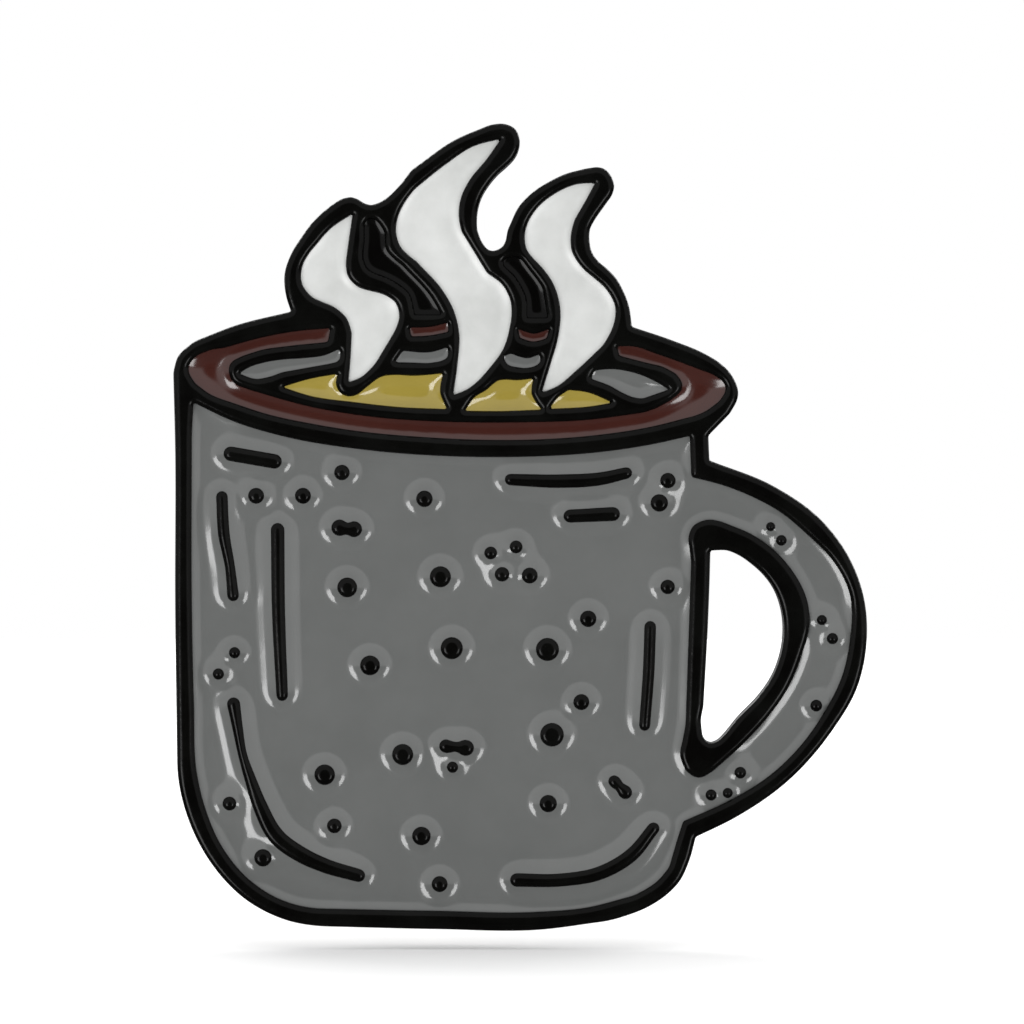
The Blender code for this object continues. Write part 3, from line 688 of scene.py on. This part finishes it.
brown = enamel_material("brown_enamel_colour", dark=(0.032, 0.0086, 0.0064),
                        light=(0.038, 0.0106, 0.0078), roughness=0.12)
enamel("rim_fill", "rim_enamel", brown, LONG_CELL_GRID, climb=CLIMB_ON_RIM)
for side_name in ("left", "right"):
    enamel("rim_back_fill_" + side_name, "rim_back_enamel_" + side_name, brown,
           SMALL_CELL_GRID, climb=CLIMB_ON_BACK_RIM, bend=SMALL_CELL_BEND)

# ---------------------------------------------------------------- drink enamel
# The drink in the mug: three small cells between the wisps of steam, filled with
# olive-gold enamel that climbed high up their close lines before it was baked.

CLIMB_OF_DRINK = 0.20

drink = enamel_material("drink_enamel_colour", dark=(0.225, 0.174, 0.030),
                        light=(0.248, 0.192, 0.035), roughness=0.12)
for side_name in ("left", "middle", "right"):
    enamel("drink_fill_" + side_name, "drink_enamel_" + side_name, drink, SMALL_CELL_GRID,
           climb=CLIMB_OF_DRINK, bend=SMALL_CELL_BEND)

# ---------------------------------------------------------------- pale enamel
# The three wisps of steam: long bent cells filled with off-white enamel, which baked
# to a slightly duller and cloudier skin than the other colours.

pale = enamel_material("pale_enamel_colour", dark=(0.412, 0.419, 0.408),
                       light=(0.515, 0.523, 0.513), roughness=0.28)
for side_name in ("left", "middle", "right"):
    enamel("steam_fill_" + side_name, "steam_enamel_" + side_name, pale, LONG_CELL_GRID)

# ---------------------------------------------------------------- black enamel
# Two slim cells between the wisps, filled with black enamel so that the steam stands
# off the dark. The fill is nearly level, and climbs its lines only a little.

CLIMB_OF_BLACK = 0.05

black = enamel_material("black_enamel_colour", dark=(0.0010, 0.0009, 0.0008),
                        light=(0.0020, 0.0020, 0.0018), roughness=0.12, specular=0.10)
for side_name in ("left", "right"):
    enamel("black_fill_" + side_name, "black_enamel_" + side_name, black, SMALL_CELL_GRID,
           climb=CLIMB_OF_BLACK, bend=SMALL_CELL_BEND)

# ---------------------------------------------------------------- posts
# A turned steel post with a flange, soldered to the back. The groove near its point is
# what the clutch's spring grips.

POST_FOOT = round(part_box("post_upper")[0].y / MM, 3)
POST_SOFTNESS = 0.06
TURNED_STEPS = 96
CORNER_STEPS = 6
MOST_CUT = 0.45
POST_PROFILE = [
    (0, 0), (1.6, 0), (1.6, 0.27), (1.5, 0.35), (0.78, 0.35), (0.575, 0.55), (0.575, 5.55),
    (0.43, 5.75), (0.43, 6.15), (0.575, 6.35), (0.575, 6.85), (0.32, 7.55), (0.12, 7.9), (0, 7.98),
]


def middle_height(node):
    """Height of the middle of a CAD node's box, in mm."""
    low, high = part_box(node)
    return round((low.z + high.z) / 2 / MM, 3)


POST_HEIGHTS = {level: middle_height("post_" + level) for level in ("upper", "lower")}


def rounded_profile(corners, radius, closed):
    """Profile with cut corners, and its direction: (1-t)² a + 2t(1-t) corner + t² b.

    a and b lie a radius before and after the corner, or the most that may be cut from
    the side if that is less. The direction is the curve's derivative, so it is true on
    the flats too.
    """
    corners = np.array(corners, float)
    side = np.roll(corners, -1, axis=0) - corners
    length = np.linalg.norm(side, axis=1, keepdims=True)
    unit = side / length
    cut = np.minimum(radius, MOST_CUT * length)
    a = (corners - np.roll(unit * cut, 1, axis=0))[:, None]
    b = (corners + unit * cut)[:, None]
    corner, t = corners[:, None], np.linspace(0, 1, CORNER_STEPS)[None, :, None]
    curve = (1 - t) ** 2 * a + 2 * t * (1 - t) * corner + t**2 * b
    way = 2 * (1 - t) * (corner - a) + 2 * t * (b - corner)
    if closed:
        curve, way = curve.reshape(-1, 2), way.reshape(-1, 2)
    else:
        curve = np.vstack([corners[:1], curve[1:-1].reshape(-1, 2), corners[-1:]])
        way = np.vstack([unit[:1], way[1:-1].reshape(-1, 2), unit[-2:-1]])
    return curve, way / np.linalg.norm(way, axis=1, keepdims=True)


def grid_faces(rows, columns, close_rows, close_columns):
    """Quads over a grid of points stored row by row, wrapped round where it closes."""
    i = np.arange(rows if close_rows else rows - 1)[:, None]
    j = np.arange(columns if close_columns else columns - 1)[None, :]
    ahead, beside = (i + 1) % rows, (j + 1) % columns
    quads = [i * columns + j, i * columns + beside, ahead * columns + beside, ahead * columns + j]
    return np.stack(np.broadcast_arrays(*quads), axis=-1).reshape(-1, 4)


def skin(name, points, normals, faces, grain):
    """Mesh of a swept surface: poles and seams are welded, and faces turned outwards.

    The sign of the volume inside is that of the sum of a · (b x c) over the triangles;
    where it comes out negative, every face is turned over. Quads that a pole pinches
    become triangles, and grain becomes the mesh's attribute of that name.
    """
    spots, first, weld = np.unique(np.round(points, 5), axis=0, return_index=True,
                                   return_inverse=True)
    faces = weld.reshape(-1)[faces]
    a, b, c, d = (spots[faces[:, k]] for k in range(4))
    volume = np.sum(a * (np.cross(b, c) + np.cross(c, d)))
    if volume < 0:
        faces = faces[:, ::-1]
    same = faces == np.roll(faces, -1, axis=1)
    whole = faces[~same.any(axis=1)]
    pinched = faces[same.sum(axis=1) == 1]
    kept = ~(pinched == np.roll(pinched, -1, axis=1))
    tips = pinched[kept].reshape(-1, 3)
    mesh = build_mesh(name, spots, [whole, tips], normals[first])
    attribute = mesh.attributes.new("grain", "FLOAT_VECTOR", "POINT")
    attribute.data.foreach_set("vector", grain[first].astype(np.float32).ravel())
    return mesh


def turned(name, profile, softness, foot, height, closed=False):
    """Surface of revolution about an axis along Y at (0, height).

    A point is (r cos a, foot + h, height + r sin a) for the profile's (r, h) at angle a,
    and its normal is the profile's direction turned outwards and swung round by a.
    grain holds (cos a, sin a, length along the profile in mm).
    """
    curve, way = rounded_profile(profile, softness, closed)
    a = np.linspace(0, 2 * np.pi, TURNED_STEPS, endpoint=False)[None, :]
    r, h = curve[:, :1], curve[:, 1:]
    cos, sin, still = np.cos(a), np.sin(a), np.ones_like(a)
    points = np.stack([r * cos, foot + h * still, height + r * sin], axis=-1)
    normals = np.stack([way[:, 1:] * cos, -way[:, :1] * still, way[:, 1:] * sin], axis=-1)
    run = np.concatenate([[0], np.cumsum(np.linalg.norm(np.diff(curve, axis=0), axis=1))])
    grain = np.stack(np.broadcast_arrays(cos, sin, run[:, None]), axis=-1)
    faces = grid_faces(len(curve), TURNED_STEPS, closed, True)
    return skin(name, points.reshape(-1, 3), normals.reshape(-1, 3), faces, grain.reshape(-1, 3))


def plated_metal(name, dark, light, roughness, around, along, depth):
    """Bright metal with fine marks depth mm deep, stretched along the piece's grain.

    around and along are how close the marks lie in the two directions of the grain.
    """
    made, shader = new_material(name, roughness, metallic=1.0)
    tone = ramp(made, noise(made, size=1.1, detail=4), "Fac", [(0.3, dark), (0.7, light)])
    link(made, tone, "Color", shader, "Base Color")
    grain = add_node(made, "Attribute", attribute_name="grain")
    stretch = add_node(made, "Mapping", Scale=(around, around, along))
    link(made, grain, "Vector", stretch, "Vector")
    marks = add_node(made, "TexNoise", Scale=1.0, Detail=4.0, Roughness=0.6)
    link(made, stretch, "Vector", marks, "Vector")
    haze = ramp(made, marks, "Fac", [(0.3, roughness * 0.75), (0.7, roughness * 1.35)])
    link(made, haze, "Color", shader, "Roughness")
    bump(made, shader, marks, "Fac", depth)
    return made


post_steel = plated_metal("post_steel_finish", dark=(0.50, 0.49, 0.47), light=(0.62, 0.61, 0.59),
                          roughness=0.22, around=2.0, along=26.0, depth=0.0005)
for level, height in POST_HEIGHTS.items():
    mesh = turned("turned_post_" + level, POST_PROFILE, POST_SOFTNESS, POST_FOOT, height)
    show(mesh, "badge", "post_steel", post_steel, "post_" + level)

# ---------------------------------------------------------------- solder
# A fillet of solder runs round each flange and holds the post to the plate. It set as
# it flowed, so it is duller and more uneven than the steel.

SOLDER_SOFTNESS = 0.1
SOLDER_PROFILE = [(1.5, 0.0), (2.35, 0.0), (2.07, 0.06), (1.85, 0.15), (1.7, 0.27), (1.5, 0.30)]

solder_metal = plated_metal("solder_finish", dark=(0.30, 0.30, 0.31), light=(0.46, 0.46, 0.47),
                            roughness=0.40, around=2.5, along=3.0, depth=0.02)
for level, height in POST_HEIGHTS.items():
    mesh = turned("solder_fillet_" + level, SOLDER_PROFILE, SOLDER_SOFTNESS, POST_FOOT, height,
                  closed=True)
    show(mesh, "badge", "solder", solder_metal, "solder_" + level)

# ---------------------------------------------------------------- clutch cups
# The round body of a butterfly clutch, drawn from nickel-plated brass sheet. Its rim is
# rolled over the spring, and a short neck round the middle hole guides the post.

CLUTCH_FOOT = round(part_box("upper_clutch_cup")[0].y / MM, 3)
CUP_SOFTNESS = 0.16
CUP_PROFILE = [
    (0.75, 0), (1.5, 0), (2.0, 0.05), (2.6, 0.05), (3.1, 0), (5.3, 0), (5.58, 0.16), (5.7, 0.5),
    (5.66, 0.85), (5.48, 1.1), (5.2, 1.2), (4.8, 1.18), (4.7, 1.06), (4.8, 0.95), (5.18, 0.93),
    (5.34, 0.75), (5.36, 0.5), (5.28, 0.3), (1.25, 0.3), (1.1, 0.42), (1.0, 0.68), (0.75, 0.68),
]

nickel = plated_metal("nickel_finish", dark=(0.60, 0.58, 0.54), light=(0.70, 0.68, 0.64),
                      roughness=0.18, around=3.0, along=10.0, depth=0.0010)
for level, height in POST_HEIGHTS.items():
    mesh = turned(level + "_cup_shell", CUP_PROFILE, CUP_SOFTNESS, CLUTCH_FOOT, height,
                  closed=True)
    show(mesh, level + "_cup", "nickel", nickel, level + "_clutch_cup")

# ---------------------------------------------------------------- clutch springs
# A strip of spring steel lies in each cup, pierced for the post. Its two legs stand up
# through the folds of the wings and pinch the post between them.

SEAT_STEPS = 160
LEG_STEPS = 8
EDGE_STEPS = 7
END_STEPS = 5
GRAIN_STEP = 0.1
SPRING_SHEET = 0.26
SEAT_HEIGHT = 0.49
SPRING_HALF_WIDTH = 2.2
SEAT_END = 4.98
SEAT_HOLE = 1.35
LEG_X = 2.63
LEG_MIDDLE = 1.2
LEG_HIGH = 1.84


def sheet_section(thickness):
    """Angles and sides of a strip's section: two flats joined by half-round edges.

    At angle p on side s the section is (s x (half width - t/2) + t/2 cos p, t/2 sin p).
    """
    half = np.linspace(-np.pi / 2, np.pi / 2, EDGE_STEPS)
    angle = np.concatenate([half, half + np.pi])
    return np.cos(angle), np.sin(angle), np.repeat([1.0, -1.0], EDGE_STEPS), thickness / 2


def seat(name, foot, height):
    """The spring's flat seat, swept round the post hole.

    At angle a it reaches from the hole to min(end, half width / |sin a|), and its
    section there is that of a strip lying along the ray.
    """
    cos, sin, side, half = sheet_section(SPRING_SHEET)
    a = np.linspace(0, 2 * np.pi, SEAT_STEPS, endpoint=False)[:, None]
    reach = np.minimum(SEAT_END, SPRING_HALF_WIDTH / np.maximum(np.abs(np.sin(a)), 1e-6))
    middle, extent = (SEAT_HOLE + reach) / 2, (reach - SEAT_HOLE) / 2
    r = middle + side * (extent - half) + half * cos
    y = foot + SEAT_HEIGHT + half * sin + 0 * a
    points = np.stack([r * np.cos(a), y, height + r * np.sin(a)], axis=-1)
    normals = np.stack([cos * np.cos(a), sin + 0 * a, cos * np.sin(a)], axis=-1)
    grain = np.stack([points[..., 2], points[..., 1], points[..., 0]], axis=-1)
    faces = grid_faces(SEAT_STEPS, len(cos), True, True)
    return skin(name, points.reshape(-1, 3), normals.reshape(-1, 3), faces, grain.reshape(-1, 3))


def strip(name, stations, thickness, foot, height, sign, steps):
    """Bent sheet carried along a centre line, with half-round edges and ends.

    Stations are (x, h, half width), read along a cubic Hermite curve. At angle p of the
    section a point is centre + across x (s (w - t/2) + t/2 cos p) + rise x t/2 sin p.
    Past each end the section shrinks as a quarter circle to its middle.
    """
    stations = np.array(stations, float)
    gap = np.linalg.norm(np.diff(stations[:, :2], axis=0), axis=1)
    run = np.concatenate([[0], np.cumsum(gap)])
    speed = np.gradient(stations, run, axis=0)
    at = np.linspace(0, run[-1], steps)
    k = np.clip(np.searchsorted(run, at) - 1, 0, len(gap) - 1)
    width = gap[k][:, None]
    t = ((at - run[k]) / gap[k])[:, None]
    line = (stations[k] * (2 * t**3 - 3 * t**2 + 1) + stations[k + 1] * (3 * t**2 - 2 * t**3)
            + width * speed[k] * (t**3 - 2 * t**2 + t) + width * speed[k + 1] * (t**3 - t**2))
    way = np.gradient(line[:, :2], at, axis=0)
    way /= np.linalg.norm(way, axis=1, keepdims=True)
    cos, sin, side, half = sheet_section(thickness)
    turn = np.linspace(0, np.pi / 2, END_STEPS)[:, None]
    shrunk = half * (1 - np.cos(turn))
    tail_centre = line[:1, :2] - way[:1] * half * (np.sin(turn) - 1)
    tip_centre = line[-1:, :2] + way[-1:] * half * (np.sin(turn) - 1)
    middle = np.ones((steps - 2, 1))
    centre = np.vstack([tail_centre[::-1], line[1:-1, :2], tip_centre])
    wide = np.vstack([line[0, 2] - shrunk[::-1], line[1:-1, 2:], line[-1, 2] - shrunk])
    thick = np.vstack([np.cos(turn)[::-1], middle, np.cos(turn)])
    onward = np.vstack([-np.sin(turn)[::-1], 0 * middle, np.sin(turn)])
    way = np.vstack([np.repeat(way[:1], END_STEPS, axis=0), way[1:-1],
                     np.repeat(way[-1:], END_STEPS, axis=0)])
    rise = np.column_stack([-way[:, 1], way[:, 0]])
    z = side * (wide - half) + half * cos * thick
    lift = half * sin * thick
    x = sign * (centre[:, :1] + rise[:, :1] * lift)
    y = foot + centre[:, 1:] + rise[:, 1:] * lift
    points = np.stack([x, y, height + z], axis=-1)
    facing_x = sign * (rise[:, :1] * sin * thick + way[:, :1] * onward)
    facing_y = rise[:, 1:] * sin * thick + way[:, 1:] * onward
    normals = np.stack([facing_x, facing_y, cos * thick], axis=-1)
    rows = len(centre)
    along = np.arange(rows)[:, None] * GRAIN_STEP
    grain = np.stack(np.broadcast_arrays(z, 0 * z, along), axis=-1)
    faces = grid_faces(rows, len(cos), False, True)
    return skin(name, points.reshape(-1, 3), normals.reshape(-1, 3), faces, grain.reshape(-1, 3))


LEG_STATIONS = [(LEG_X, lift, SPRING_HALF_WIDTH) for lift in (SEAT_HEIGHT, LEG_MIDDLE, LEG_HIGH)]

spring_steel = plated_metal("spring_steel_finish", dark=(0.36, 0.36, 0.37),
                            light=(0.46, 0.46, 0.46), roughness=0.26, around=1.0, along=16.0,
                            depth=0.0010)
for level, height in POST_HEIGHTS.items():
    mesh = seat(level + "_spring_seat", CLUTCH_FOOT, height)
    show(mesh, level + "_spring", "spring_steel", spring_steel, level + "_clutch_spring")
    for side_name, sign in (("right", 1), ("left", -1)):
        mesh = strip(level + "_spring_leg_" + side_name, LEG_STATIONS, SPRING_SHEET,
                     CLUTCH_FOOT, height, sign, LEG_STEPS)
        show(mesh, level + "_spring", "spring_steel", spring_steel, level + "_clutch_spring")

# ---------------------------------------------------------------- clutch wings
# Two folded wings of plated sheet, one each side of the post. Squeezing their thumb
# tips together opens the jaws that bear on the spring.

WING_STEPS = 56
WING_STATIONS = [
    (0.70, 1.43, 0.50), (1.25, 1.48, 0.80), (1.80, 1.72, 1.65), (2.15, 2.10, 2.00),
    (2.50, 2.36, 2.00), (2.92, 2.46, 2.00), (3.36, 2.74, 2.00), (4.00, 3.52, 2.12),
    (4.58, 4.40, 2.25), (5.00, 5.02, 2.16), (5.26, 5.30, 1.85), (5.48, 5.44, 1.35),
    (5.62, 5.50, 0.80),
]

for level, height in POST_HEIGHTS.items():
    for side_name, sign in (("right", 1), ("left", -1)):
        mesh = strip(level + "_wing_sheet_" + side_name, WING_STATIONS, SPRING_SHEET,
                     CLUTCH_FOOT, height, sign, WING_STEPS)
        show(mesh, level + "_wing_" + side_name, "nickel", nickel,
             level + "_clutch_wing_" + side_name)

# ---------------------------------------------------------------- studio
# A plain pale floor in a tent of soft white light. Two low lamps in front draw the
# glints on the enamel, and three soft boxes behind and above light the clutches.

FLOOR_DROP = 0.8
FLOOR_SIZE = 1.1
FLOOR_GLOW = 0.1
LENS = 200
VIEW_CENTRE = (2.96, 3.48)
VIEW_DISTANCE = 226.1

floor_level = cad_box[0].z - FLOOR_DROP * MM
bpy.ops.mesh.primitive_plane_add(size=FLOOR_SIZE, location=(0, 0, floor_level))
floor = bpy.context.active_object
floor.name = "studio_floor"
floor.visible_glossy = False
floor.visible_shadow = False
paper, shader = new_material("floor_paper", roughness=0.9, specular=0.0)
tone = ramp(paper, noise(paper, size=40.0), "Fac", [(0.3, 0.885), (0.7, 0.90)])
link(paper, tone, "Color", shader, "Base Color")
shader.inputs["Emission Color"].default_value = (1.0, 1.0, 1.0, 1)
shader.inputs["Emission Strength"].default_value = FLOOR_GLOW
floor.data.materials.append(paper)


def softbox(name, turn, lift, distance, width, tall, radiance):
    """Area light seen from the pin turn degrees right of and lift above straight ahead.

    Its power is radiance x pi x area, so that it looks equally bright at any size.
    """
    lamp = bpy.data.lights.new(name, "AREA")
    lamp.shape = "RECTANGLE"
    lamp.size, lamp.size_y = width, tall
    lamp.energy = radiance * math.pi * width * tall
    holder = bpy.data.objects.new(name, lamp)
    a, e = math.radians(turn), math.radians(lift)
    way = np.array([math.sin(a) * math.cos(e), -math.cos(a) * math.cos(e), math.sin(e)])
    holder.location = way * distance
    holder.rotation_euler = (math.pi / 2 - e, 0, a)
    holder.visible_camera = False
    bpy.context.scene.collection.objects.link(holder)


for setting in (
    ("low_lamp_left", -28, -13.5, 0.50, 0.16, 0.18, 10.0),
    ("low_lamp_right", 30, -14, 0.50, 0.13, 0.16, 9.0),
    ("back_softbox_left", 215, 35, 0.60, 0.35, 0.35, 3.0),
    ("back_softbox_right", 140, 25, 0.60, 0.35, 0.35, 3.0),
    ("top_softbox", 180, 75, 0.60, 0.60, 0.60, 0.8),
):
    softbox(*setting)

# The tent is white all round, with a dark gap where the viewer stands and little light
# from below. Looked at directly, it is plain white.
TENT_FROM_BEHIND = [(0.0, 0.75), (0.30, 1.10), (0.968, 1.10), (0.986, 0.02)]
TENT_FROM_BELOW = [(0.44, 0.10), (0.49, 1.0)]

world = bpy.data.worlds.new("studio_air")
world.use_nodes = True
bpy.context.scene.world = world
air = world.node_tree.nodes["Background"]
air.inputs["Strength"].default_value = 1.0
where = add_node(world, "TexCoord")
front = add_node(world, "VectorMath", operation="DOT_PRODUCT")
front.inputs[1].default_value = (0, -1, 0)
link(world, where, "Generated", front, 0)
tent = ramp(world, front, "Value", TENT_FROM_BEHIND)
apart = add_node(world, "SeparateXYZ")
link(world, where, "Generated", apart, 0)
lifted = add_node(world, "Math", operation="MULTIPLY_ADD")
lifted.inputs[1].default_value = 0.5
lifted.inputs[2].default_value = 0.5
link(world, apart, "Z", lifted, 0)
open_side = ramp(world, lifted, "Value", TENT_FROM_BELOW)
glow = add_node(world, "Mix", data_type="RGBA", blend_type="MULTIPLY")
glow.inputs["Factor"].default_value = 1.0
link(world, tent, "Color", glow, MIX_A)
link(world, open_side, "Color", glow, MIX_B)
link(world, glow, MIX_RESULT, air, "Color")
seen = add_node(world, "Background")
seen.inputs["Color"].default_value = (1.0, 1.0, 1.0, 1)
ray = add_node(world, "LightPath")
either = add_node(world, "MixShader")
link(world, ray, "Is Camera Ray", either, "Fac")
link(world, air, 0, either, 1)
link(world, seen, 0, either, 2)
link(world, either, "Shader", world.node_tree.nodes["World Output"], "Surface")

lens = bpy.data.cameras.new("portrait_lens")
lens.lens = LENS
lens.clip_start = 0.01
camera = bpy.data.objects.new("camera", lens)
camera.location = (VIEW_CENTRE[0] * MM, -VIEW_DISTANCE * MM, VIEW_CENTRE[1] * MM)
camera.rotation_euler = (math.pi / 2, 0, 0)
bpy.context.scene.collection.objects.link(camera)
bpy.context.scene.camera = camera
bpy.context.scene.view_settings.view_transform = "Standard"
